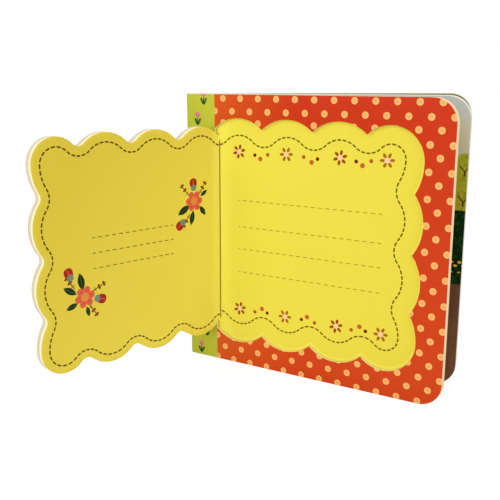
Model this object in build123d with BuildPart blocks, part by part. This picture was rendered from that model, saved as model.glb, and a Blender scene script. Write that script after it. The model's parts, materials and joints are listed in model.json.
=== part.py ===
from build123d import *
from math import cos, radians, sin
import os

# A square children's board book, standing on its tail edge with both covers ajar.
# A thick scalloped flap is hinged in a scalloped recess in the front cover.
#
# Frame, in millimetres: the origin is on the floor, in the middle of the spine's
# outer face. +X runs from spine to fore-edge, -Y to the front cover, +Y to the back
# cover, +Z from tail to head.

# Book
book_height = 152.4
cover_width = 152.4
corner_radius = 12.0

# Page block: thick leaves that part at the edges, glued to a card strip at the spine.
# The block is rolled a little, so each leaf ends short of the one in front of it
leaf_count = 6
leaf_board = 1.7
leaf_gap = 0.24
leaf_gap_depth = 1.2
leaf_creep = 0.1
spine_card = 0.8

# Covers: hinge lines just outside the spine's two corners, angles from the page block
hinge_offset = 0.1
cover_clearance = 0.1
spine_gap = 0.3
base_board = 2.1
window_board = 2.1
back_board = 2.1
front_cover_angle = 10.1
back_cover_angle = 13.5

# Scalloped window: plain margins of the cover around it, a row of lobes along the top
# and the bottom, and at each fore-edge corner a large lobe just inside the others
spine_margin = 18.5
head_margin = 12.7
fore_edge_margin = 13.6
window_raise = 0.2
lobe_count = 3
lobe_rise = 5.9
side_rise = 4.9
corner_lobe_radius = 16.5
corner_set_in = 0.85
corner_to_lobe_notch = 13.0
corner_to_side_notch = 16.1
corner_shoulder = 1.0

# Printed sheet on the recess floor and on the flap's inner face
sheet = 0.2
sheet_clearance = 0.1

# Flap: its fold line lies just above the recess floor and leans a little to the
# fore-edge, and its boards are set back from the fold, so that a paper hinge lets it
# swing past the window's rim
fold_set_in = 1.5
fold_lean = 0.35
fold_height = 0.15
flap_clearance = 0.15
liner_set_back = 0.3
board_set_back = 5.0
flap_inset = 4.5
flap_lift = -0.2
inner_ply = 1.8
outer_ply = 2.95
flap_angle = 105.1

# Sizes that follow from the ones above
leaf_pitch = leaf_board + leaf_gap
block_thickness = leaf_count * leaf_pitch - leaf_gap
hinge_y = block_thickness / 2 + hinge_offset
fore_edge = spine_gap + cover_width
last_leaf_edge = fore_edge - (leaf_count - 1) * leaf_creep
recess_floor = cover_clearance + base_board

# The window in its own frame: x from the cover's hinge line, y from its middle height
window_side = spine_gap + spine_margin
window_end = fore_edge - fore_edge_margin
window_top = book_height / 2 - head_margin
lobe_notch = window_top - lobe_rise
side_notch = window_end - side_rise
corner_x = window_end - corner_set_in - corner_lobe_radius
corner_y = window_top - corner_set_in - corner_lobe_radius
lobe_pitch = (corner_x - corner_to_lobe_notch - window_side) / lobe_count
side_pitch = corner_y - corner_to_side_notch

# The flap's fold line, from the cover's hinge line and from its inner face
fold_x = window_side + fold_set_in
fold_w = recess_floor + sheet + fold_height


def hinged_plane(foot, turn):
    """Upright plane at foot: x is turned from +X to the front, y is up, z faces out."""
    across = (cos(radians(turn)), -sin(radians(turn)), 0)
    facing = (-sin(radians(turn)), -cos(radians(turn)), 0)
    return Plane(origin=foot, x_dir=across, z_dir=facing)


def board_outline(start, end, inset=0.0):
    """Board from start at the spine to end at the fore-edge, fore-edge corners rounded.

    The inset draws in the head, the tail and the fore-edge, but not the spine edge.
    """
    with Locations((start, inset)):
        Rectangle(end - inset - start, book_height - 2 * inset, align=(Align.MIN, Align.MIN))
    fore_edge_corners = vertices().group_by(Axis.X)[-1]
    fillet(fore_edge_corners, corner_radius - inset)


def scalloped_outline(neck=0.0):
    """Scalloped window about its middle height, with a straight side at the spine.

    The upper half has a row of lobes along the top, a large corner lobe and one lobe
    at the side. A neck carries it on to the spine side from the first notch.
    """
    side = window_side - neck
    corner_peak = (corner_x, corner_y + corner_lobe_radius)
    corner_side = (corner_x + corner_lobe_radius, corner_y - corner_shoulder)
    with BuildSketch() as outline:
        with BuildLine():
            Line((side, 0), (side, lobe_notch))
            if neck > 0:
                Line((side, lobe_notch), (window_side, lobe_notch))
            notch = (window_side, lobe_notch)
            for lobe in range(lobe_count):
                start = notch
                notch = (window_side + (lobe + 1) * lobe_pitch, lobe_notch)
                ThreePointArc(start, (notch[0] - lobe_pitch / 2, window_top), notch)
            ThreePointArc(notch, corner_peak, corner_side)
            TangentArc(corner_side, (side_notch, side_pitch), tangent=(0, -1))
            side_peak = (window_end, side_pitch / 2)
            ThreePointArc((side_notch, side_pitch), side_peak, (side_notch, 0))
            Line((side_notch, 0), (side, 0))
        make_face()
        mirror(about=Plane.XZ)
    return outline.sketch


def flap_outline(set_back):
    """Flap layer: the window's outline drawn in, from set_back beyond the fold on."""
    beyond_fold = (cos(radians(fold_lean)), -sin(radians(fold_lean)), 0)
    with BuildSketch() as outline:
        add(scalloped_outline(flap_inset))
        offset(amount=-flap_inset, kind=Kind.ARC)
        split(bisect_by=Plane((fold_x + set_back, 0, 0), z_dir=beyond_fold), keep=Keep.TOP)
    return outline.sketch


# Page block: leaves around a core that stops short of their edges
with BuildPart() as page_block:
    with BuildSketch(Plane.XZ.offset(block_thickness / 2 - leaf_board)):
        board_outline(spine_card, last_leaf_edge, leaf_gap_depth)
    extrude(amount=-(block_thickness - 2 * leaf_board))
    for leaf in range(leaf_count):
        with BuildSketch(Plane.XZ.offset(block_thickness / 2 - leaf * leaf_pitch)):
            board_outline(spine_card, fore_edge - leaf * leaf_creep)
        extrude(amount=-leaf_board)

with BuildPart() as spine_panel:
    with BuildSketch(Plane.XY):
        Rectangle(spine_card, block_thickness, align=(Align.MIN, Align.CENTER))
    extrude(amount=book_height)

# Front cover: a base board, a board with the window cut in it, and the printed sheet
# on the base board inside the window
front_plane = hinged_plane((0, -hinge_y, 0), front_cover_angle)
window_foot = front_plane.from_local_coords((0, book_height / 2 + window_raise, 0))
window_plane = hinged_plane(window_foot, front_cover_angle)
window_outline = scalloped_outline()

with BuildPart() as front_base_board:
    with BuildSketch(front_plane.offset(cover_clearance)):
        board_outline(spine_gap, fore_edge)
    extrude(amount=base_board)

with BuildPart() as front_window_board:
    with BuildSketch(front_plane.offset(recess_floor)):
        board_outline(spine_gap, fore_edge)
    extrude(amount=window_board)
    with BuildSketch(window_plane.offset(recess_floor)):
        add(window_outline)
    extrude(amount=window_board, mode=Mode.SUBTRACT)

with BuildPart() as bookplate:
    with BuildSketch(window_plane.offset(recess_floor)):
        add(window_outline)
        offset(amount=-sheet_clearance, kind=Kind.ARC)
    extrude(amount=sheet)

# Flap: the printed sheet carries on over the fold, and two boards lie behind it. Its
# layers are laid in the window and then swung open about the fold
fold_foot = window_plane.from_local_coords((fold_x, 0, fold_w))
up_fold = Vector(0, 0, cos(radians(fold_lean))) + window_plane.x_dir * sin(radians(fold_lean))
fold_axis = Axis(fold_foot, up_fold)
flap_foot = window_plane.from_local_coords((0, flap_lift, fold_w))
flap_plane = hinged_plane(flap_foot, front_cover_angle)
liner_outline = flap_outline(liner_set_back)
ply_outline = flap_outline(board_set_back)
inner_face = flap_clearance + sheet
ply_joint = inner_face + inner_ply

with BuildPart() as flap_liner:
    with BuildSketch(flap_plane.offset(flap_clearance)):
        add(liner_outline)
    extrude(amount=sheet)

with BuildPart() as flap_inner_ply:
    with BuildSketch(flap_plane.offset(inner_face)):
        add(ply_outline)
    extrude(amount=inner_ply)

with BuildPart() as flap_outer_ply:
    with BuildSketch(flap_plane.offset(ply_joint)):
        add(ply_outline)
    extrude(amount=outer_ply)

# Back cover, turned to the back
back_plane = hinged_plane((0, hinge_y, 0), -back_cover_angle)

with BuildPart() as back_cover:
    with BuildSketch(back_plane.offset(-cover_clearance)):
        board_outline(spine_gap, fore_edge)
    extrude(amount=-back_board)

solids = {
    "page_block": page_block.part,
    "spine_panel": spine_panel.part,
    "front_base_board": front_base_board.part,
    "front_window_board": front_window_board.part,
    "bookplate": bookplate.part,
    "flap_liner": flap_liner.part.rotate(fold_axis, -flap_angle),
    "flap_inner_ply": flap_inner_ply.part.rotate(fold_axis, -flap_angle),
    "flap_outer_ply": flap_outer_ply.part.rotate(fold_axis, -flap_angle),
    "back_cover": back_cover.part,
}
os.makedirs("parts", exist_ok=True)
for node, solid in solids.items():
    solid.label = node
    export_step(solid, f"parts/{node}.step")
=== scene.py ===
import json
import math

import bpy
import numpy as np
from mathutils import Matrix


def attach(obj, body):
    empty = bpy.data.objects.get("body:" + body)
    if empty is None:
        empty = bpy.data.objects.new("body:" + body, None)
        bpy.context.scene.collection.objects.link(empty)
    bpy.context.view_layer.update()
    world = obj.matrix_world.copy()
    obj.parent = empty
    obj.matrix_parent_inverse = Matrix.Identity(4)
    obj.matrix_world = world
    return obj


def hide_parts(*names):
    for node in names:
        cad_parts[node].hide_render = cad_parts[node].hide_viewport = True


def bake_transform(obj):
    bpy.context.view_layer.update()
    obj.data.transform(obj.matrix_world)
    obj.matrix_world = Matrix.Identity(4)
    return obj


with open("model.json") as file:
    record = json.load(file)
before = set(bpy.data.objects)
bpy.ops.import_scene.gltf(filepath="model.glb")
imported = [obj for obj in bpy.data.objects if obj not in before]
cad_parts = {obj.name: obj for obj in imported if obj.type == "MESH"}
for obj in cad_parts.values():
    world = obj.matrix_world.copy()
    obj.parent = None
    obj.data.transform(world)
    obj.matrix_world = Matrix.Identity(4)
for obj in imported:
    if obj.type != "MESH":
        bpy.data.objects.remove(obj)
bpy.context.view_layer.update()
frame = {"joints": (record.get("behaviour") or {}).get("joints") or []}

# Page block. Six thick leaves of white board, printed on both faces and cut flush
# with the fore-edge corners rounded. They are glued together at the spine, part a little
# at the other edges, and end a hair short of each other. Sizes are in millimetres.
book_height = 152.4
cover_width = 152.4
corner_radius = 12.0
leaf_count = 6
leaf_board = 1.7
leaf_gap = 0.24
gap_depth = 1.2
spine_card = 0.8
fore_edge = 152.7
leaf_creep = 0.1
leaf_round = 0.18
block_thickness = leaf_count * (leaf_board + leaf_gap) - leaf_gap
edge_points = 12
arc_points = 18
round_rings = 4


def board_edge(start, end, spine=1.0):
    """Points round a board and how far each moves for 1 mm of inset, seen from outside.

    Tail edge, corner arc, fore-edge, corner arc, head edge, spine edge: along each edge
    the point runs evenly, and on an arc it is centre + radius * (cos a, sin a). The spine
    edge moves by spine times the inset.
    """
    along = np.linspace(0, 1, edge_points, endpoint=False)[:, None]
    turn = np.linspace(0, math.pi / 2, arc_points, endpoint=False)[:, None]
    low = np.array([end - corner_radius, corner_radius])
    high = np.array([end - corner_radius, book_height - corner_radius])
    tail = np.array([start, 0.0]) + along * np.array([low[0] - start, 0])
    fore = np.array([end, low[1]]) + along * np.array([0, high[1] - low[1]])
    head = np.array([high[0], book_height]) + along * np.array([start - high[0], 0])
    back = np.array([start, book_height]) + along * np.array([0, -book_height])
    first = np.hstack([np.cos(turn - math.pi / 2), np.sin(turn - math.pi / 2)])
    second = np.hstack([np.cos(turn), np.sin(turn)])
    points = np.vstack([tail, low + corner_radius * first, fore, high + corner_radius * second, head, back])
    one = np.ones_like(along)
    tail_out = np.hstack([0 * one, -one])
    tail_out[0, 0] = -spine
    fore_out = np.hstack([one, 0 * one])
    head_out = np.hstack([0 * one, one])
    back_out = np.hstack([-spine * one, 1 - 2 * along])
    return points, np.vstack([tail_out, first, fore_out, second, head_out, back_out])


def lip(round_off, low, high):
    """Inset and height up a board's cut edge: a quarter circle, the flat cut, a quarter circle."""
    a = np.linspace(0, math.pi / 2, round_rings)
    inset = round_off * (1 - np.sin(a))
    rise = round_off * (1 - np.cos(a))
    return list(zip(inset, low + rise)) + list(zip(inset[::-1], high - rise[::-1]))


def at_height(points, height):
    """Flat points as a ring at one height."""
    return np.hstack([points, np.full((len(points), 1), height)])


def standing(points, foot, turn):
    """Stands flat points up: x runs from foot at turn degrees towards the front, y up, height out."""
    a = math.radians(turn)
    across = np.array([math.cos(a), -math.sin(a), 0])
    facing = np.array([-math.sin(a), -math.cos(a), 0])
    up = np.array([0, 0, 1])
    return np.array([*foot, 0]) + points[:, :1] * across + points[:, 1:2] * up + points[:, 2:3] * facing


def swung(points, hinge):
    """Turns points about a hinge (point, axis, degrees): the part along the axis stays, the rest turns."""
    if hinge is None:
        return points
    middle, axis, a = np.array(hinge[0]), np.array(hinge[1]), math.radians(hinge[2])
    arm = points - middle
    along = (arm @ axis)[:, None] * axis
    return middle + along + math.cos(a) * (arm - along) + math.sin(a) * np.cross(axis, arm)


def shell(name, rings, foot, turn, stuff, body, nodes, closed=False, stitch=None, hinge=None):
    """A closed skin over rings of points, each (x, y, height), joined ring to ring by quads.

    The first and last ring are closed with a flat face, or joined to each other if closed.
    stuff gives each strip's material, the first face and the last. UV map "print" is (x, y)
    and "stitch" is (length along, distance in), both in millimetres.
    """
    rows, count = len(rings), len(rings[0])
    flat = np.vstack(rings)
    row, column = np.meshgrid(np.arange(rows if closed else rows - 1), np.arange(count), indexing="ij")
    after, above = (column + 1) % count, (row + 1) % rows
    quads = np.stack([row * count + column, row * count + after,
                      above * count + after, above * count + column], -1)
    corners, sizes = quads.reshape(-1), np.full(row.size, 4)
    coats = np.repeat(stuff[1:-1], count)
    smooth = np.ones(row.size, bool)
    if closed:
        coats = np.repeat(stuff, count)
    else:
        corners = np.concatenate([corners, np.arange(count)[::-1], np.arange(count) + (rows - 1) * count])
        sizes = np.concatenate([sizes, [count, count]])
        coats = np.concatenate([coats, [stuff[0], stuff[-1]]])
        smooth = np.concatenate([smooth, [False, False]])
    mesh = bpy.data.meshes.new(name)
    mesh.vertices.add(len(flat))
    mesh.vertices.foreach_set("co", (swung(standing(flat, foot, turn), hinge) / 1000).ravel())
    mesh.loops.add(len(corners))
    mesh.loops.foreach_set("vertex_index", corners)
    mesh.polygons.add(len(sizes))
    mesh.polygons.foreach_set("loop_start", np.cumsum(sizes) - sizes)
    used = list(dict.fromkeys(stuff))
    for material in used:
        mesh.materials.append(material)
    mesh.polygons.foreach_set("material_index", [used.index(material) for material in coats])
    mesh.polygons.foreach_set("use_smooth", smooth)
    mesh.uv_layers.new(name="print").data.foreach_set("uv", flat[corners, :2].ravel())
    if stitch is not None:
        mesh.uv_layers.new(name="stitch").data.foreach_set("uv", np.vstack(stitch)[corners].ravel())
    mesh.update(calc_edges=True)
    mesh.validate()
    piece = bpy.data.objects.new(name, mesh)
    bpy.context.scene.collection.objects.link(piece)
    if body:
        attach(piece, body)
    if nodes:
        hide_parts(*nodes)
    return piece


def paint(red, green, blue):
    """A printed colour, given as it looks (0 to 255), as the linear colour that a socket takes."""
    shown = np.array([red, green, blue]) / 255
    linear = np.where(shown <= 0.04045, shown / 12.92, ((shown + 0.055) / 1.055) ** 2.4)
    return (*linear, 1.0)


class Ink:
    """A socket in a material. Arithmetic on inks adds Math nodes, and node() adds any other."""

    def __init__(self, tree, socket=None):
        self.tree = tree
        self.socket = socket

    def node(self, kind, settings=None, inputs=None, output=0):
        """Adds a node of a kind, with its settings first and then a value or ink per socket."""
        made = self.tree.nodes.new("ShaderNode" + kind)
        for name, value in (settings or {}).items():
            setattr(made, name, value)
        for name, value in (inputs or {}).items():
            if isinstance(value, Ink):
                self.tree.links.new(value.socket, made.inputs[name])
            else:
                made.inputs[name].default_value = value
        return Ink(self.tree, made.outputs[output])

    def math(self, operation, *others):
        """A Math node on this ink and the others, in that order."""
        return self.node("Math", {"operation": operation}, dict(enumerate([self, *others])))

    def __add__(self, other):
        return self.math("ADD", other)

    def __sub__(self, other):
        return self.math("SUBTRACT", other)

    def __rsub__(self, other):
        return self.node("Math", {"operation": "SUBTRACT"}, {0: other, 1: self})

    def __mul__(self, other):
        return self.math("MULTIPLY", other)

    def __truediv__(self, other):
        return self.math("DIVIDE", other)

    def __abs__(self):
        return self.math("ABSOLUTE")

    __radd__ = __add__
    __rmul__ = __mul__

    def least(self, other):
        return self.math("MINIMUM", other)

    def most(self, other):
        return self.math("MAXIMUM", other)

    def folded(self, half):
        """Distance from the nearest whole multiple of twice half."""
        return self.math("PINGPONG", half)

    def repeated(self, pitch):
        """Signed distance from the nearest whole multiple of pitch."""
        return self - pitch * (self / pitch).math("ROUND")

    def from_both(self, other):
        """Square root of the sum of two squares."""
        return (self * self + other * other).math("SQRT")

    def under(self, limit, soft=0.06):
        """1 where this is below the limit and 0 above, with a soft step."""
        value, middle = (self - limit, 0) if isinstance(limit, Ink) else (self, limit)
        inputs = {"Value": value, "From Min": middle + soft, "From Max": middle - soft}
        return self.node("MapRange", {"interpolation_type": "SMOOTHSTEP"}, inputs)

    def over(self, limit, soft=0.06):
        return 1 - self.under(limit, soft)

    def laid(self, colour, mask):
        """This colour with another printed over it where the mask is 1."""
        return self.node("Mix", {"data_type": "RGBA"}, {0: mask, 6: self, 7: colour}, 2)

    def colour(self, *shown):
        """A plain colour to print on."""
        return self.node("RGB").set(paint(*shown))

    def set(self, value):
        self.socket.default_value = value
        return self

    def parts(self):
        """The x, y and z of a vector."""
        split = self.tree.nodes.new("ShaderNodeSeparateXYZ")
        self.tree.links.new(self.socket, split.inputs[0])
        return [Ink(self.tree, output) for output in split.outputs]

    def across_sheet(self, name="print"):
        """The two coordinates of a UV map, in millimetres."""
        return self.node("UVMap", {"uv_map": name}).parts()[:2]

    def in_place(self):
        """Object coordinates in millimetres."""
        metres = self.node("TexCoord", output="Object")
        return self.node("VectorMath", {"operation": "SCALE"}, {0: metres, "Scale": 1000.0})

    def noise(self, size, detail=2.0, stretch=(1, 1, 1)):
        """Cloudy noise from 0 to 1, with lumps of about size in millimetres."""
        spot = self.node("VectorMath", {"operation": "MULTIPLY"}, {0: self.in_place(), 1: stretch})
        return self.node("TexNoise", {}, {"Vector": spot, "Scale": 1 / size, "Detail": detail})


printed_grain = (0.006, 0.6)
cut_grain = (0.02, 0.25)
fibre_swing = 0.12


def finish(name, colour, roughness, grain, grain_size, sheen=0.2, stretch=(1, 1, 1)):
    """A paper finish: colour(ink) on stock whose fibres stir the roughness and the surface.

    grain is the depth of the fibres and grain_size their size, both in millimetres.
    """
    material = bpy.data.materials.new(name)
    material.use_nodes = True
    tree = material.node_tree
    shader = tree.nodes["Principled BSDF"]
    ink = Ink(tree)
    tree.links.new(colour(ink).socket, shader.inputs["Base Color"])
    fibres = ink.noise(grain_size, 4.0, stretch)
    tree.links.new((roughness + fibre_swing * (fibres - 0.5)).socket, shader.inputs["Roughness"])
    bump = ink.node("Bump", {}, {"Strength": 1.0, "Distance": grain / 1000, "Height": fibres})
    tree.links.new(bump.socket, shader.inputs["Normal"])
    shader.inputs["Specular IOR Level"].default_value = sheen
    return material


def tinted(*shown, patch=3.0, swing=0.06):
    """A colour that drifts a little lighter and darker over patches of a given size."""
    def colour(ink):
        darker = [value * (1 - swing) for value in shown]
        return ink.colour(*shown).laid(paint(*darker), ink.noise(patch, 3.0))
    return colour


hedge_top = 96.5
soil_top = 57.4
twig_x = 151.2
bushes = ((24.0, 105.0, 12.0), (58.0, 99.0, 7.0), (106.0, 103.0, 15.0))


def landscape(ink):
    """First page: sky, round bushes, one with twigs, a dark hedge with flowers, and bare soil."""
    x, _, z = ink.in_place().parts()
    drift = ink.noise(14.0, 4.0)
    fine = ink.noise(2.2, 3.0)
    page = ink.colour(216, 205, 172).laid(paint(194, 197, 190), (z + 12 * drift).over(147, 7.0))
    bush = (150.6 - x).most(0.0).from_both((z - 120.9).most(0.0))
    for place, height, reach in bushes:
        bush = bush.least((x - place).from_both(z - height) - reach)
    page = page.laid(paint(184, 180, 44), (bush + 1.2 * drift).under(3.9, 0.3))
    page = page.laid(paint(146, 140, 28), (fine - 0.5).over(0.06, 0.1) * bush.under(2.6, 0.4) * 0.8)
    stem = abs(x - twig_x)
    fork = (z - 99.6).repeated(15.4)
    twig = abs(fork - 1.1 * stem).least(stem + abs(fork + 1.0).over(1.3) * 9.0)
    page = page.laid(paint(96, 26, 14), twig.under(0.42, 0.12) * abs(fork).under(2.9) * z.under(119))
    page = page.laid(paint(8, 38, 4), (z + 2.4 * drift).under(hedge_top, 0.3))
    page = page.laid(paint(36, 84, 18), (fine - 0.5).over(0.10, 0.06) * z.under(hedge_top - 2.5, 0.6) * 0.6)
    bloom = (x - 149.3).folded(2.0).from_both((z - 66.4).folded(2.8) * 1.4)
    bloom = bloom.least((x - 151.4).folded(2.0).from_both((z - 68.3).folded(2.8) * 1.4))
    clump = abs((x - 150.5).repeated(23)).from_both((z - 67) * 1.3)
    page = page.laid(paint(244, 188, 64), bloom.under(0.95, 0.12) * (clump + 3 * fine).under(7.2, 0.3))
    page = page.laid(paint(116, 76, 54), (z + 2 * drift).under(soil_top, 0.4))
    page = page.laid(paint(140, 92, 62), (z + 6 * drift).under(42, 6.0) * 0.7)
    soil = z.under(soil_top - 1.8)
    page = page.laid(paint(104, 66, 46), (fine - 0.5).over(0.08, 0.08) * soil * 0.45)
    return page.laid(paint(120, 82, 56), (x + 1.5 * drift).over(151.6, 0.8) * soil * 0.5)


leaf_core = finish("leaf_core", tinted(246, 240, 226, patch=1.2), 0.75, *cut_grain, stretch=(1, 6, 1))
first_page = finish("first_page", landscape, 0.42, *printed_grain, sheen=0.08)
end_page = finish("end_page", tinted(192, 184, 158, patch=14.0), 0.42, *printed_grain, sheen=0.08)

spine_hold = 0.05
last_creep = leaf_creep * (leaf_count - 1)
core, core_out = board_edge(spine_card, fore_edge - last_creep, spine_hold)
gap = core - gap_depth * core_out
rings = []
for leaf in range(leaf_count):
    low = leaf * (leaf_board + leaf_gap) - block_thickness / 2
    high = low + leaf_board
    edge, out = board_edge(spine_card, fore_edge - leaf_creep * (leaf_count - 1 - leaf), spine_hold)
    rings += [at_height(edge - inset * out, height) for inset, height in lip(leaf_round, low, high)]
    if leaf < leaf_count - 1:
        rings += [at_height(gap, high), at_height(gap, high + leaf_gap)]
cut_strips = len(rings) + 1 - 2 * round_rings
stuff = [end_page] * round_rings + [leaf_core] * cut_strips + [first_page] * round_rings
shell("page_leaves", rings, (0, 0), 0, stuff, "book_block", ["page_block"])

# Spine. A strip of card glued over the folds of the leaves, printed green like the
# strip that it meets on each cover.
def spine_green(ink):
    """The yellow-green of the spine, a little worn and paler at its ends."""
    z = ink.in_place().parts()[2]
    worn = abs(z - book_height / 2).over(73, 3.0) * ink.noise(1.5, 3.0)
    green = ink.colour(186, 190, 58).laid(paint(172, 174, 50), ink.noise(22.0, 3.0))
    return green.laid(paint(214, 208, 140), worn * 0.6)


spine_print = finish("spine_print", spine_green, 0.42, *printed_grain)
card_round = 0.15
card_points = 8
edge = np.array([[0, -block_thickness / 2], [spine_card, -block_thickness / 2],
                 [spine_card, block_thickness / 2], [0, block_thickness / 2]])
along = np.linspace(0, 1, card_points, endpoint=False)[:, None]
edge = np.vstack([edge[k] + along * (edge[(k + 1) % 4] - edge[k]) for k in range(4)])
middle = np.array([spine_card / 2, 0])
rings = [at_height(edge - inset * np.sign(edge - middle), height)
         for inset, height in lip(card_round, 0, book_height)]
rings = [np.stack([ring[:, 0], ring[:, 2], -ring[:, 1]], 1) for ring in rings]
shell("spine_strip", rings, (0, 0), 0, [spine_print] * (len(rings) + 1),
      "book_block", ["spine_panel"])

# Front cover, lower board. Thick board lined inside with an olive sheet; it stands on
# a hinge line beside the spine's corner, and carries the window board and the printed
# sheet.
joints = {joint["name"]: joint for joint in frame["joints"]}
front_angle = -joints["front_cover_opens"]["range_deg"][0]
front_foot = tuple(1000 * value for value in joints["front_cover_opens"]["pos_m"][:2])
cover_start = 0.3
cover_end = cover_start + cover_width
base_board = (0.1, 2.2)
board_round = 0.2

cut_board = finish("cut_board", tinted(252, 228, 180, patch=1.2), 0.75, *cut_grain)
olive_lining = finish("olive_lining", tinted(144, 136, 50, patch=18.0, swing=0.12), 0.42, *printed_grain)
edge, out = board_edge(cover_start, cover_end)
rings = [at_height(edge - inset * out, height) for inset, height in lip(board_round, *base_board)]
stuff = [olive_lining] * round_rings + [cut_board] * (round_rings + 1)
shell("front_board", rings, front_foot, front_angle, stuff,
      "front_cover", ["front_base_board"])

# Front cover, window board. A second board with a scalloped opening cut through it,
# covered in red paper with round dots, and green with tulips along the spine.
window_height = book_height / 2 + 0.2
window_side = 18.8
window_end = 139.1
window_top = 63.5
lobe_notch = 57.6
side_notch = 134.2
side_pitch = 30.05
corner_start = 108.75
corner_peak = (121.75, 62.65)
corner_side = (138.25, 45.15)
stitch_in = 9.5
window_board = (2.2, 4.3)
window_round = 0.25
lobe_count = 3
lobe_points = 28
least_notch = 0.1


def arc_through(first, second, third):
    """Centre, radius and end angles of the circle through three points."""
    (ax, ay), (bx, by), (cx, cy) = first, second, third
    scale = 2 * (ax * (by - cy) + bx * (cy - ay) + cx * (ay - by))
    squares = ax ** 2 + ay ** 2, bx ** 2 + by ** 2, cx ** 2 + cy ** 2
    x = (squares[0] * (by - cy) + squares[1] * (cy - ay) + squares[2] * (ay - by)) / scale
    y = (squares[0] * (cx - bx) + squares[1] * (ax - cx) + squares[2] * (bx - ax)) / scale
    return (x, y), math.hypot(ax - x, ay - y), math.atan2(ay - y, ax - x), math.atan2(cy - y, cx - x)


def scallops(fan):
    """Points along the window's scalloped side, how each moves for 1 mm of inset, and stitch lengths.

    A lobe is centre + radius * (cos a, sin a). At a notch the direction fans round from
    one lobe's to the next in fan steps. The upper half is worked out and mirrored.
    """
    pitch = (corner_start - window_side) / lobe_count
    arcs = []
    for lobe in range(lobe_count):
        left = window_side + lobe * pitch
        peak = (left + pitch / 2, window_top)
        arcs.append(arc_through((left, lobe_notch), peak, (left + pitch, lobe_notch)))
    arcs.append(arc_through((corner_start, lobe_notch), corner_peak, corner_side))
    drop, back = corner_side[1] - side_pitch, corner_side[0] - side_notch
    radius = (drop ** 2 + back ** 2) / (2 * back)
    arcs.append(((corner_side[0] - radius, corner_side[1]), radius, 0.0, -math.asin(drop / radius)))
    arcs.append(arc_through((side_notch, side_pitch), (window_end, side_pitch / 2), (side_notch, 0)))
    points, outward, run = [], [], [0.0]
    turned = math.pi / 2
    for number, (centre, radius, start, end) in enumerate(arcs):
        notch = start - turned
        if notch > least_notch and fan:
            a = np.linspace(turned, start, fan, endpoint=False)
            corner = np.array(centre) + radius * np.array([math.cos(start), math.sin(start)])
            points.append(np.repeat(corner[None], fan, 0))
            outward.append(np.stack([np.cos(a), np.sin(a)], 1))
            run += [run[-1] + stitch_in * notch / fan * k for k in range(1, fan + 1)]
        a = np.linspace(start, end, lobe_points, endpoint=False)
        direction = np.stack([np.cos(a), np.sin(a)], 1)
        points.append(np.array(centre) + radius * direction)
        if notch > least_notch and not fan and number:
            half = (start + turned) / 2
            direction[0] = np.array([math.cos(half), math.sin(half)]) / math.cos(notch / 2)
        outward.append(direction)
        arc = (radius - stitch_in) * (start - end)
        run += [run[-1] + arc / lobe_points * k for k in range(1, lobe_points + 1)]
        turned = end
    run = np.array(run)
    if fan:
        a = np.linspace(turned, 0, fan)
        points.append(np.repeat([[side_notch, 0.0]], fan, 0))
        outward.append(np.stack([np.cos(a), np.sin(a)], 1))
        run = np.concatenate([run, run[-1] + stitch_in * (a - turned)[1:]])
    else:
        points.append(np.array([[side_notch, 0.0]]))
        outward.append(np.array([[1 / math.cos(turned), 0.0]]))
    points, outward = np.vstack(points), np.vstack(outward)
    mirror = np.array([1, -1])
    points = np.vstack([points * mirror, points[-2::-1]])
    outward = np.vstack([outward * mirror, outward[-2::-1]])
    run = np.concatenate([run, 2 * run[-1] - run[-2::-1]])
    return points, outward, run


dot_halves = (5.515, 6.45)  # half the pitch of a lattice, across and up
dot_radius = 1.75
tulip_pitch = 11.17


def dots_and_tulips(ink):
    """Red paper with two lattices of round dots, and a green strip with tulips beside the spine."""
    x, y = ink.across_sheet()
    u = x - cover_start
    page = ink.colour(202, 68, 22).laid(paint(196, 48, 10), (y + 20 * ink.noise(60.0, 2.0)) / 170)
    # Painted reflection: the red turns orange towards the spine, standing in for yellow light thrown on it
    # by the flap.
    page = page.laid(paint(214, 94, 20), (70 - u) / 50 * 0.6)
    lattice = (u - 24.1).folded(dot_halves[0]).from_both((y - 150.2).folded(dot_halves[1]))
    other = (u - 18.9).folded(dot_halves[0]).from_both((y - 143.4).folded(dot_halves[1]))
    dot = lattice.least(other)
    page = page.laid(paint(248, 182, 108), dot.under(dot_radius))
    page = page.laid(paint(222, 162, 90), dot.under(0.95, 0.35) * 0.8)
    strip = ink.colour(188, 194, 54).laid(paint(180, 180, 50), ink.noise(30.0, 3.0))
    side = (y - 150.2).folded(tulip_pitch).under(tulip_pitch / 2, 0.01)
    a = abs(u - 7.2 - 4.2 * side)
    b = (y - 150.5).repeated(tulip_pitch)
    leaf = abs(a - 1.15 - 0.42 * (b + 1.6)).from_both((b + 1.9) * 0.42)
    strip = strip.laid(paint(24, 68, 14), a.under(0.3) * b.under(1.0) * b.over(-3.9))
    strip = strip.laid(paint(24, 68, 14), leaf.under(0.78))
    strip = strip.laid(paint(96, 146, 58), leaf.under(0.3, 0.15) * 0.7)
    bud = a.from_both(b - 1.95)
    tips = (b - 2.8).under((a - 0.8).folded(0.85))
    strip = strip.laid(paint(206, 106, 124), bud.under(1.6) * tips)
    strip = strip.laid(paint(224, 150, 160), a.under(0.35, 0.25) * bud.under(1.4) * tips * 0.4)
    return page.laid(strip, x.under(window_side, 0.04))


cover_print = finish("cover_print", dots_and_tulips, 0.40, *printed_grain, sheen=0.1)
# The window's cut wall is a yellower, lighter cream than the other cut edges: painted reflection of the
# yellow sheet and painted light against the recess's shade.
window_wall = finish("window_wall", tinted(255, 243, 182, patch=1.2), 0.75, *cut_grain)

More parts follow.
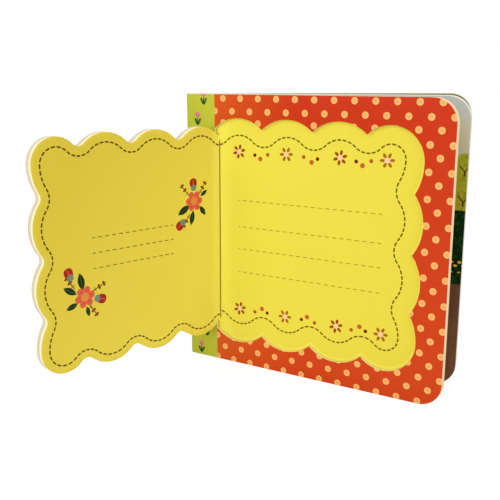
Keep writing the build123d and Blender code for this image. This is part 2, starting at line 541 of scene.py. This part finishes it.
# Each point of the rim is joined to the point of the cover's edge that is seen behind it
# from the window's heart.
rim_points = 40
fine_points = 4000
full_turn = 2 * math.pi
edge, out = board_edge(cover_start, cover_end)
rim, rim_out, _ = scallops(0)
rim_out[0], rim_out[-1] = (-1.0, -1.0), (-1.0, 1.0)
side = np.linspace(1, 0, rim_points)[1:-1, None]
rim = np.vstack([rim, rim[:1] + side * (rim[-1:] - rim[:1])])
rim_out = np.vstack([rim_out, np.tile([-1.0, 0.0], (len(side), 1))])
rim = rim + [0, window_height]
heart = np.array([76.0, window_height])
seen = np.unwrap(np.arctan2(*(rim - heart).T[::-1]))
fine = np.linspace(0, len(edge), fine_points, endpoint=False)
ring_at = np.arange(len(edge) + 1)
edge_loop, out_loop = np.vstack([edge, edge[:1]]), np.vstack([out, out[:1]])
fine_edge = np.stack([np.interp(fine, ring_at, edge_loop[:, k]) for k in range(2)], 1)
fine_seen = np.unwrap(np.arctan2(*(fine_edge - heart).T[::-1]))
fine_seen = np.concatenate([fine_seen - full_turn, fine_seen, fine_seen + full_turn])
fine = np.concatenate([fine - len(edge), fine, fine + len(edge)])
spot = np.interp(seen, fine_seen, fine) % len(edge)
edge = np.stack([np.interp(spot, ring_at, edge_loop[:, k]) for k in range(2)], 1)
out = np.stack([np.interp(spot, ring_at, out_loop[:, k]) for k in range(2)], 1)
outer = lip(window_round, *window_board)
inner = lip(board_round, *window_board)[round_rings:]
rings = [at_height(edge - inset * out, height) for inset, height in outer]
rings += [at_height(rim + inset * rim_out, height) for inset, height in inner[::-1]]
rings += [at_height(rim, window_board[0])]
stuff = [cut_board] * round_rings + [cover_print] * (2 * round_rings - 1) + [window_wall, cut_board]
shell("front_window", rings, front_foot, front_angle, stuff,
      "front_cover", ["front_window_board"], closed=True)

# Printed sheet in the window. Yellow paper pasted on the lower board, with a stitched
# line round it, flowers, dots, and dashed lines to write on.
sheet_bottom = 2.2
sheet_top = 2.4
notch_fan = 8
held_points = 30
side_points = 26
unstitched = [0.0, 60.0]  # a place on the stitch map that is far from any stitch
stitch_pitch = 2.9
stitch_radius = 0.42
plate_stitches = 9.9
petals = 6


def scalloped_row(inset, start, height, lift=0.0, lean=0.0, printed=0.0):
    """One ring of a scalloped sheet at an inset, cut off along a straight side at x = start.

    The side leans by lean per millimetre of height. The first and last columns slide along
    the curve until they begin on it, and evenly spaced points close the ring along it.
    The stitches are printed a little too high on the sheet, by printed.
    """
    points, outward, run = scallops(notch_fan)
    row = points - inset * outward
    from_side = row[:, 0] - lean * row[:, 1]
    count = len(row)
    base = np.arange(count, dtype=float)
    held = base[:held_points]
    first, last = [np.interp(start, side[:held_points], held) for side in (from_side, from_side[::-1])]
    share = held / held_points
    number = base.copy()
    number[:held_points] = first + (held_points - first) * share
    number[count - held_points:] = count - 1 - (last + (held_points - last) * share)[::-1]
    row = np.stack([np.interp(number, base, row[:, k]) for k in range(2)], 1)
    run, rise = np.interp(number, base, run), np.interp(number, base, outward[:, 1])
    side = np.linspace(1, 0, side_points)[1:-1, None]
    closing = row[:1] + side * (row[-1:] - row[:1])
    ring = np.vstack([row, closing]) + [0, window_height + lift]
    stitch = np.vstack([np.stack([run, inset + printed * rise], 1), np.tile(unstitched, (len(side), 1))])
    return at_height(ring, height), stitch


def stitching(ink, distance):
    """Mask of a row of short round-ended stitches at a distance inside the edge."""
    run, inset = ink.across_sheet("stitch")
    along = (run.folded(stitch_pitch / 2) - 0.7).most(0.0)
    return along.from_both(inset - distance).under(stitch_radius, 0.08)


def flower(u, v, turn):
    """Mask of a small flower about (0, 0): six ellipses set round the centre, and the distance from it."""
    angle = (v.math("ARCTAN2", u) - turn).folded(math.pi / petals)
    radius = u.from_both(v)
    along, off = radius * angle.math("COSINE"), radius * angle.math("SINE")
    petal = (along - 2.6).from_both(off * 1.75)
    return petal.under(1.38, 0.12), radius


def plate(ink):
    """Yellow sheet: stitches, a row of flowers and dots at head and foot, and writing lines."""
    x, y = ink.across_sheet()
    u = x - cover_start
    page = ink.colour(232, 221, 78).laid(paint(226, 210, 68), (u + 20 * ink.noise(40.0, 2.0)) / 150)
    # Painted light: the sheet is printed lighter near the fold, against the shade that the flap casts
    # there.
    page = page.laid(paint(244, 234, 92), u.under(25.5, 6.0) * 0.8)
    inset = ink.across_sheet("stitch")[1]
    # Painted light: a lighter band along the window's rim, against the shade of the recess wall.
    page = page.laid(paint(252, 242, 110), inset.under(1.0, 0.8) * 0.7)
    page = page.laid(paint(104, 80, 0), stitching(ink, plate_stitches) * 0.97)
    second, third, fourth = u.over(48.0, 0.01), u.over(78.0, 0.01), u.over(106.2, 0.01)
    step = second * 29.3 + third * 31.0 + fourth * 25.2
    odd = second - third + fourth
    bloom, radius = flower(u - 33.2 - step, (y - 121.8).repeated(89.4), 0.3 - 0.25 * odd)
    page = page.laid(ink.colour(152, 66, 6).laid(paint(166, 100, 20), odd), bloom)
    page = page.laid(paint(242, 200, 160), radius.under(1.4, 0.15))
    head = 2 * y.over(76.5, 0.01) - 1
    row = abs(y - 76.5)
    for place, side in ((47.2, -1), (76.8, 1), (106.3, -1)):
        across = (u - place) * head * side
        page = page.laid(paint(110, 20, 4), (across - 4.0).from_both(row - 43.9).under(1.0))
        page = page.laid(paint(192, 92, 44), (across - 0.6).from_both(row - 42.0).under(1.3))
        page = page.laid(paint(172, 86, 30), (across + 4.0).from_both(row - 44.5).under(1.05))
    lines = abs(y - 95.0).least(abs(y - 80.15)).least(abs(y - 67.55)).least(abs(y - 54.25))
    dash = ((u - 116.4).folded(2.1) - 1.0).most(0.0).from_both(lines)
    written = dash.under(0.26, 0.08) * u.over(32.6, 0.1) * u.under(117.2, 0.1)
    return page.laid(paint(158, 138, 24), written * 0.85)


yellow_plate = finish("yellow_plate", plate, 0.45, *printed_grain, sheen=0.08)
plate_lift = 0.65
plate_insets = (3.0, 6.0, 8.4, 9.4, 10.4, 13.0)
levels = [(0.01, sheet_bottom), (0.01, sheet_top - 0.01), (0.02, sheet_top)]
levels += [(inset, sheet_top) for inset in plate_insets]
rows = [scalloped_row(inset, window_side + 0.02 + 0.05 * inset, height, printed=plate_lift)
        for inset, height in levels]
shell("plate_sheet", [row[0] for row in rows], front_foot, front_angle, [yellow_plate] * (len(rows) + 1),
      "front_cover", ["bookplate"], stitch=[row[1] for row in rows])

# Flap. The yellow paper turns up from the window at a scored fold and covers two
# scalloped boards, a white one and a grey one. They are cut smaller than the window and
# stop short of the fold, so that the flap drops into the window when it closes.
swing = joints["flap_closes"]
fold_point = np.array([1000 * value for value in swing["pos_m"]])
fold_hinge = (fold_point, swing["axis"], -swing["range_deg"][1])
fold_x = 20.3
fold_height = 2.55
fold_lean = math.tan(math.acos(swing["axis"][2]))
flap_inset = 4.5
flap_lift = -0.2
liner_set_back = 0.3
board_set_back = 5.0
liner = (0.15, 0.35)
inner_ply = (0.35, 2.15)
outer_ply = (2.15, 5.10)
inner_round = 0.12
outer_round = 0.15
flap_print_lift = -0.35
flap_stitches = 8.95
spray_scale = 1.27


def spray(s, v, page, turn):
    """Prints a spray about (0, 0): a six-petalled flower, leaves, round buds and twigs of berries."""
    c, d = math.cos(turn), math.sin(turn)
    a, b = s * c + v * d, v * c - s * d

    def turned(x, y, angle):
        """Distances along and off the line through (x, y) at an angle."""
        along = (a - x) * math.cos(angle) + (b - y) * math.sin(angle)
        return along, (b - y) * math.cos(angle) - (a - x) * math.sin(angle)

    for x, y, angle, length, width in ((5.6, -3.4, -0.5, 3.6, 1.5), (-4.6, -4.6, 0.9, 2.7, 1.15),
                                       (1.2, -7.2, -1.35, 3.3, 1.3), (-5.4, 3.0, 2.6, 2.2, 0.9)):
        along, off = turned(x, y, angle)
        leaf = abs(off) + along * along * (width / length ** 2)
        page = page.laid(paint(20, 48, 24), leaf.under(width, 0.1))
        page = page.laid(paint(74, 104, 50), abs(off).under(0.12, 0.06) * leaf.under(width * 0.8) * 0.8)
    for x, y, angle in ((-4.6, 5.4, 2.2), (5.0, 5.2, 0.85), (4.4, -8.2, -0.95)):
        along, off = turned(x, y, angle)
        page = page.laid(paint(70, 44, 22), abs(off).under(0.2, 0.06) * abs(along).under(3.4, 0.1))
        berry = along.folded(1.15).from_both(abs(off) - 0.62)
        page = page.laid(paint(140, 34, 24), berry.under(0.5, 0.08) * abs(along - 0.8).under(2.9, 0.1))
    for x, y, angle in ((0.4, 7.4, 1.5), (7.6, -9.6, -0.7)):
        along, off = turned(x, y, angle)
        bud = along.from_both(off * (1.3 - 0.12 * along))
        page = page.laid(paint(168, 34, 30), bud.under(2.5, 0.1))
        page = page.laid(paint(112, 140, 118), (along + 1.7).from_both(off * 0.9).under(1.35, 0.1))
        page = page.laid(paint(206, 92, 72), abs(off).under(0.22, 0.08) * abs(along - 0.7).under(1.2, 0.15))
    angle = b.math("ARCTAN2", a).folded(math.pi / petals)
    radius = a.from_both(b)
    petal = (radius * angle.math("COSINE") - 2.75).from_both(radius * angle.math("SINE") * 1.15)
    page = page.laid(paint(222, 96, 72), petal.under(1.75, 0.1))
    page = page.laid(paint(200, 62, 44), (petal + 0.35 * radius).under(1.35, 0.35) * 0.7)
    return page.laid(paint(226, 142, 62), radius.under(1.75, 0.15))


def flap_face(ink):
    """Inner face of the flap: stitches, two sprays of flowers, and dashed lines to write on."""
    x, y = ink.across_sheet()
    s = x - fold_x
    # Painted shade and light: the flap darkens towards its far end and head, and is printed lighter next to
    # the fold.
    painted_shade = (s + 0.6 * (y - 84) + 10 * ink.noise(40.0, 2.0)) / 120
    page = ink.colour(238, 221, 84).laid(paint(220, 198, 64), painted_shade)
    page = page.laid(paint(250, 236, 100), s.under(4.0, 4.0) * 0.7)
    page = page.laid(paint(84, 54, 0), stitching(ink, flap_stitches) * 0.95)
    lines = abs(y - 84.0).least(abs(y - 76.2)).least(abs(y - 68.4))
    dash = ((s - 58.0).folded(2.05) - 1.0).most(0.0).from_both(lines)
    page = page.laid(paint(112, 88, 18), dash.under(0.25, 0.08) * abs(s - 58.0).under(25.0, 0.1) * 0.9)
    page = spray((s - 18.4) / spray_scale, (y - 95.4) / spray_scale, page, 0.0)
    return spray((s - 88.4) / spray_scale, (y - 54.8) / spray_scale, page, 1.9)


def flap_back(ink):
    """Outer face of the flap: plain yellow with the stitched line."""
    x = ink.across_sheet()[0]
    page = ink.colour(234, 217, 80).laid(paint(224, 203, 70), ink.noise(40.0, 2.0))
    past_side = x.over(fold_x + board_set_back + 0.6)
    return page.laid(paint(84, 54, 0), stitching(ink, flap_stitches) * past_side)


flap_yellow = finish("flap_yellow", flap_face, 0.45, *printed_grain, sheen=0.08)
flap_outside = finish("flap_outside", flap_back, 0.45, *printed_grain, sheen=0.08)
white_core = finish("white_core", tinted(253, 244, 206, patch=1.2), 0.75, *cut_grain)
grey_core = finish("grey_core", tinted(219, 205, 176, patch=1.2), 0.78, 0.03, 0.25)


def flap_rows(set_back, levels):
    """Rings of a flap layer and their stitch maps, from pairs of inset and height over the fold."""
    rows = [scalloped_row(flap_inset + inset, fold_x + set_back + min(inset, 0.3) + 0.05 * inset,
                          fold_height + height, flap_lift, fold_lean, flap_print_lift)
            for inset, height in levels]
    return [row[0] for row in rows], [row[1] for row in rows]


face_insets = (8.6, 6.0, 4.9, 4.0, 2.0)
levels = [(inset, liner[0]) for inset in face_insets]
levels += [(0.04, liner[0]), (0, liner[0] + 0.04), (0, liner[1])]
rings, stitch = flap_rows(liner_set_back, levels)
shell("flap_sheet", rings, front_foot, front_angle, [flap_yellow] * (len(rings) + 1), "flap",
      ["flap_liner"], stitch=stitch, hinge=fold_hinge)
rings, stitch = flap_rows(board_set_back, lip(inner_round, *inner_ply))
shell("flap_white_board", rings, front_foot, front_angle, [white_core] * (len(rings) + 1), "flap",
      ["flap_inner_ply"], stitch=stitch, hinge=fold_hinge)
levels = lip(outer_round, *outer_ply) + [(inset, outer_ply[1]) for inset in face_insets[::-1]]
rings, stitch = flap_rows(board_set_back, levels)
stuff = [grey_core] * (round_rings + 1) + [flap_outside] * (len(rings) - round_rings)
shell("flap_grey_board", rings, front_foot, front_angle, stuff, "flap",
      ["flap_outer_ply"], stitch=stitch, hinge=fold_hinge)

# Fold of the flap. The same yellow paper, stitches and all, runs from the plate round the
# scored crease and on to the flap.
def creased(ink):
    """Yellow paper with its stitches, printed lighter as painted light by the fold, and a brown line along
    the score that is partly cracked print and partly painted shade in the crease.
    """
    x, y = ink.across_sheet()
    # The paper is printed lighter than the plate: painted light along the fold.
    page = ink.colour(248, 234, 92).laid(paint(242, 224, 84), ink.noise(6.0, 2.0))
    page = page.laid(paint(92, 66, 0), stitching(ink, plate_stitches) * 0.95)
    bent = abs(x - fold_x - 0.3 - fold_lean * (y - window_height))
    held = abs(y - window_height + 0.4).under(51.4, 1.2)
    # Brown line along the score: cracked print together with painted shade in the crease.
    return page.laid(paint(110, 82, 6), bent.under(0.24, 0.12) * held)


crease_paper = finish("crease_paper", creased, 0.5, 0.01, 0.5, sheen=0.08)

# The section runs from the plate round the crease to the flap. unrolled is each point's
# distance from the crease along the paper, and flapped is 1 where it lies on the flap.
fold_rings = 97
fold_paper_thickness = 0.12
path = np.array([[1.7, -0.145], [1.0, -0.13], [0.5, -0.11], [0.25, -0.03],
                 [0.1, 0.12], [0.0, 0.35], [-0.17, 0.9], [-0.33, 1.5]])
slope = np.gradient(path, axis=0)
normal = np.stack([slope[:, 1], -slope[:, 0]], 1) / np.linalg.norm(slope, axis=1)[:, None]
section = np.vstack([path, (path - fold_paper_thickness * normal)[::-1]])
reach = np.concatenate([np.linspace(55.5, 53.2, len(path)), np.linspace(53.2, 55.5, len(path))])
unrolled = np.array([1.7, 1.0, 0.5, 0.25, 0.1, 0.36, 0.94, 1.56])
flapped = np.array([0, 0, 0, 0, 0, 1, 1, 1])
unrolled = np.concatenate([unrolled, unrolled[::-1]])
flapped = np.concatenate([flapped, flapped[::-1]])
total = scallops(notch_fan)[2][-1]
rings, stitch = [], []
for share in np.linspace(1, -1, fold_rings):
    height = share * reach
    across = fold_x + unrolled + fold_lean * height - window_side
    down = lobe_notch - abs(height - flap_lift * flapped)
    distance, angle = np.hypot(across, down), np.arctan2(across, down)
    lift = np.where(flapped, flap_print_lift, plate_lift)
    inset = distance + np.sign(share) * lift + (plate_stitches - flap_stitches) * flapped
    run = stitch_in * angle if share < 0 else total - stitch_in * angle
    x, y = fold_x + section[:, 0] + fold_lean * height, window_height + height
    rings.append(np.stack([x, y, fold_height + section[:, 1]], 1))
    stitch.append(np.stack([run, inset], 1))
fold_paper = shell("fold_paper", rings, front_foot, front_angle, [crease_paper] * (len(rings) + 1),
                   None, None, stitch=stitch)
ends = np.array([[fold_x + 0.9, window_height, fold_height - 0.13],
                 [fold_x - 0.1, window_height, fold_height + 0.7]])
ends = standing(ends, front_foot, front_angle)
tuple(ends[0] / 1000)
tuple(ends[1] / 1000)
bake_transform(fold_paper)

# Back cover. One thick board lined inside in olive green and covered outside like the
# front; it stands on the hinge line at the spine's other corner.
back_angle = joints["back_cover_opens"]["range_deg"][0]
back_foot = tuple(1000 * value for value in joints["back_cover_opens"]["pos_m"][:2])
back_board = (-2.2, -0.1)
edge, out = board_edge(cover_start, cover_end)
rings = [at_height(edge - inset * out, height) for inset, height in lip(board_round, *back_board)]
stuff = [cover_print] * round_rings + [cut_board] + [olive_lining] * round_rings
shell("back_board", rings, back_foot, back_angle, stuff,
      "back_cover_body", ["back_cover"])

# Hinge papers. The covering paper runs from the spine round each corner and over the
# spine edge of the cover, and spans the gap between them.
hinge_y = block_thickness / 2 + 0.1
hinge_rings = 9
end_gap = 0.15
cover_reach = np.array([0.12, 0.6, 1.2, 2.4, 4.05])
bridge_shares = np.array([[0.25], [0.5], [0.75]])
spine_inside = (np.array([[0.0, 5.0], [0.0, 5.4], [0.0, 5.69]]), 0.3)
spine_outside = (np.array([[-0.02, 5.0], [-0.1, 5.4], [-0.12, 5.69]]), 0.18)
for name, body, front, angle, end in (("front_hinge_paper", "front_cover", 1, front_angle, 4.05),
                                      ("back_hinge_paper", "back_cover_body", -1, -back_angle, 1.95)):
    a = math.radians(angle)
    reach = cover_reach * end / cover_reach[-1]
    skins = []
    for on_spine, on_cover in (spine_inside, spine_outside):
        x = on_cover * math.cos(a) - reach * math.sin(a)
        y = hinge_y + on_cover * math.sin(a) + reach * math.cos(a)
        turned = np.stack([x, y], 1)
        bridge = on_spine[-1] + bridge_shares * (turned[0] - on_spine[-1])
        skins.append(np.vstack([on_spine, bridge, turned]))
    section = np.vstack([skins[0], skins[1][::-1]])
    rings = [np.stack([section[:, 0], np.full(len(section), height), front * section[:, 1]], 1)
             for height in np.linspace(end_gap, book_height - end_gap, hinge_rings)[::-front]]
    hinge_paper = shell(name, rings, (0, 0), 0, [spine_print] * (len(rings) + 1), None, None)
    -front * 0.0057
    -front * 0.0059
    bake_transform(hinge_paper)

# Studio. A pale floor with a plain white surround, three large soft lamps, and the
# camera at the height and turn of the photograph.
floor_mesh = bpy.data.meshes.new("floor")
floor_mesh.from_pydata([(-4, -4, 0), (4, -4, 0), (4, 4, 0), (-4, 4, 0)], [], [(0, 1, 2, 3)])
floor = bpy.data.objects.new("floor", floor_mesh)
bpy.context.scene.collection.objects.link(floor)
pale = bpy.data.materials.new("pale_floor")
pale.use_nodes = True
tree = pale.node_tree
tree.nodes.clear()
ink = Ink(tree)
matt = ink.node("BsdfDiffuse", {}, {"Color": (0.88, 0.88, 0.88, 1)})
bright = ink.node("Emission", {}, {"Color": (1, 1, 1, 1), "Strength": 1.2})
direct = ink.node("LightPath", output="Is Camera Ray")
both = ink.node("MixShader", {}, {0: direct * 0.7, 1: matt, 2: bright})
tree.links.new(both.socket, tree.nodes.new("ShaderNodeOutputMaterial").inputs["Surface"])
floor_mesh.materials.append(pale)

world = bpy.data.worlds.new("surround")
bpy.context.scene.world = world
world.use_nodes = True
tree = world.node_tree
tree.nodes.clear()
ink = Ink(tree)
soft = ink.node("Background", {}, {"Color": (1, 1, 1, 1), "Strength": 0.70})
white = ink.node("Background", {}, {"Color": (1, 1, 1, 1), "Strength": 1.0})
direct = ink.node("LightPath", output="Is Camera Ray").most(ink.node("LightPath", output="Is Glossy Ray"))
direct = direct.most(ink.node("LightPath", output="Is Transmission Ray"))
both = ink.node("MixShader", {}, {0: direct, 1: soft, 2: white})
tree.links.new(both.socket, tree.nodes.new("ShaderNodeOutputWorld").inputs["Surface"])


def lamp(name, place, aim, width, power):
    """A square soft lamp at a place, turned to an aim point, with its width in metres."""
    light = bpy.data.lights.new(name, "AREA")
    light.size = width
    light.energy = power
    holder = bpy.data.objects.new(name, light)
    bpy.context.scene.collection.objects.link(holder)
    holder.location = place
    back = np.array(place) - np.array(aim)
    back = back / np.linalg.norm(back)
    side = np.cross([0, 0, 1], back)
    side = side / np.linalg.norm(side)
    holder.rotation_euler = Matrix(np.stack([side, np.cross(back, side), back], 1).tolist()).to_euler()


lamp("key", (-0.37, -1.33, 0.75), (0.07, 0, 0.07), 1.2, 9.0)
lamp("fill", (1.25, -0.83, 0.60), (0.07, 0, 0.07), 1.0, 2.2)
lamp("top", (0.08, 0.30, 1.40), (0.07, 0, 0.07), 1.0, 5.0)

camera_data = bpy.data.cameras.new("camera")
camera = bpy.data.objects.new("camera", camera_data)
bpy.context.scene.collection.objects.link(camera)
camera_data.sensor_width = 36.0
camera_data.lens = 53.95
camera_data.clip_start = 0.01
heading, pitch, roll = math.radians(21.53), 0.2300752, -0.002
level = np.array([math.cos(heading), math.sin(heading), 0])
ahead = np.array([-math.sin(heading), math.cos(heading), 0])
view = ahead * math.cos(pitch) - np.array([0, 0, math.sin(pitch)])
rise = ahead * math.sin(pitch) + np.array([0, 0, math.cos(pitch)])
right = math.cos(roll) * level + math.sin(roll) * rise
up = -math.sin(roll) * level + math.cos(roll) * rise
place = Matrix.Translation((0.188415, -0.393335, 0.162731))
camera.matrix_world = place @ Matrix(np.stack([right, up, -view], 1).tolist()).to_4x4()
bpy.context.scene.camera = camera
bpy.context.scene.view_settings.view_transform = "Standard"
